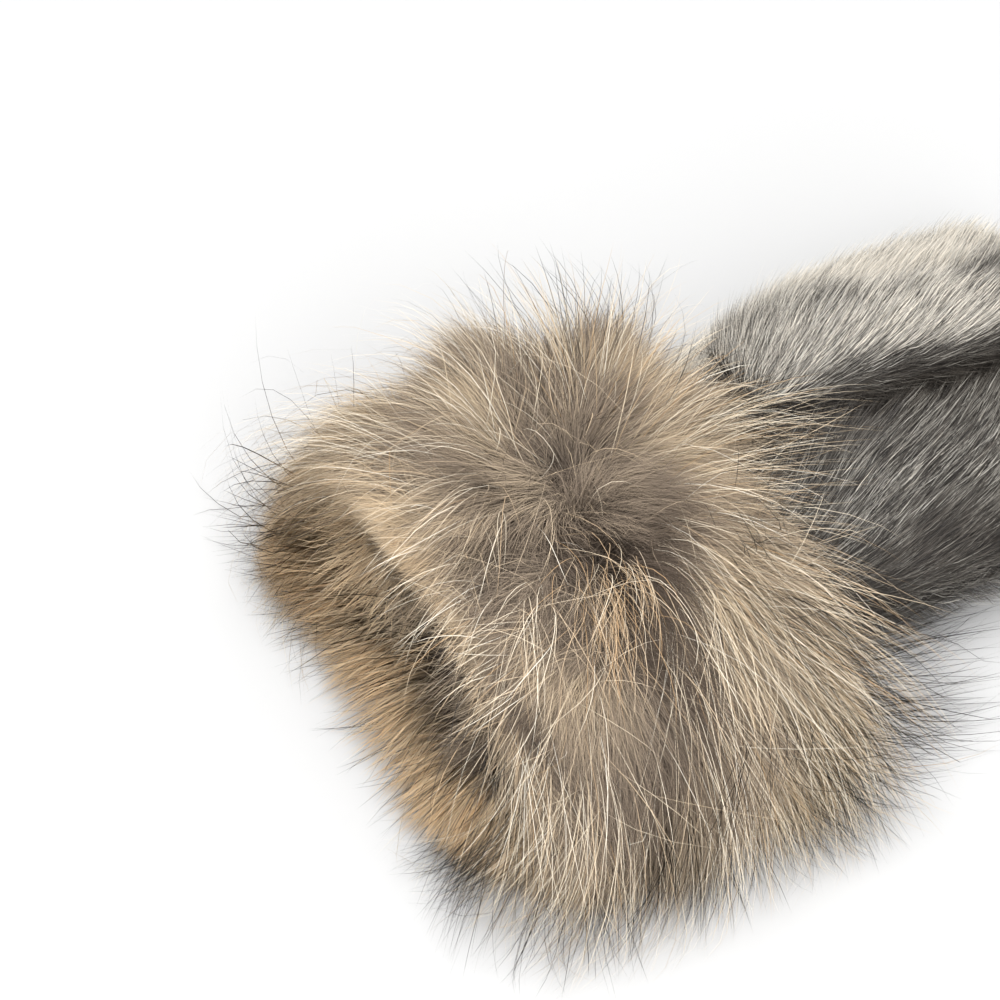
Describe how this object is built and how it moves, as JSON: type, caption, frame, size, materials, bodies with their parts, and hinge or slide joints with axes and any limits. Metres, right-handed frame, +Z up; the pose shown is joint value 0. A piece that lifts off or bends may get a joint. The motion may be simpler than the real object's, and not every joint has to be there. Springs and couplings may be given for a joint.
{
  "type": "left-hand fur mitten with deep fur cuff",
  "caption": "Left-hand mitten in short grey fur, lying palm up, with a thumb set into the palm and a deep fluffy fur cuff.",
  "frame": {"origin": "on the flat underside of the back panel, under the middle of the hand, on the surface that the mitten lies on", "axes": "+X from the cuff to the fingertips, +Y to the thumb's side, +Z up out of the palm"},
  "size_m": [0.3553, 0.2688, 0.109],
  "materials": {
    "hand_fur": "short sleek fur pile, grey with dark brown and pale stripes",
    "thumb_fur": "short sleek fur pile, light grey",
    "cuff_fur": "deep fluffy fur, tan underfur with cream and black-tipped guard hairs"
  },
  "bodies": {
    "root": {"back_panel": "hand_fur", "palm_panel": "hand_fur", "thumb": "thumb_fur", "fur_cuff": "cuff_fur"}
  },
  "joints": []
}
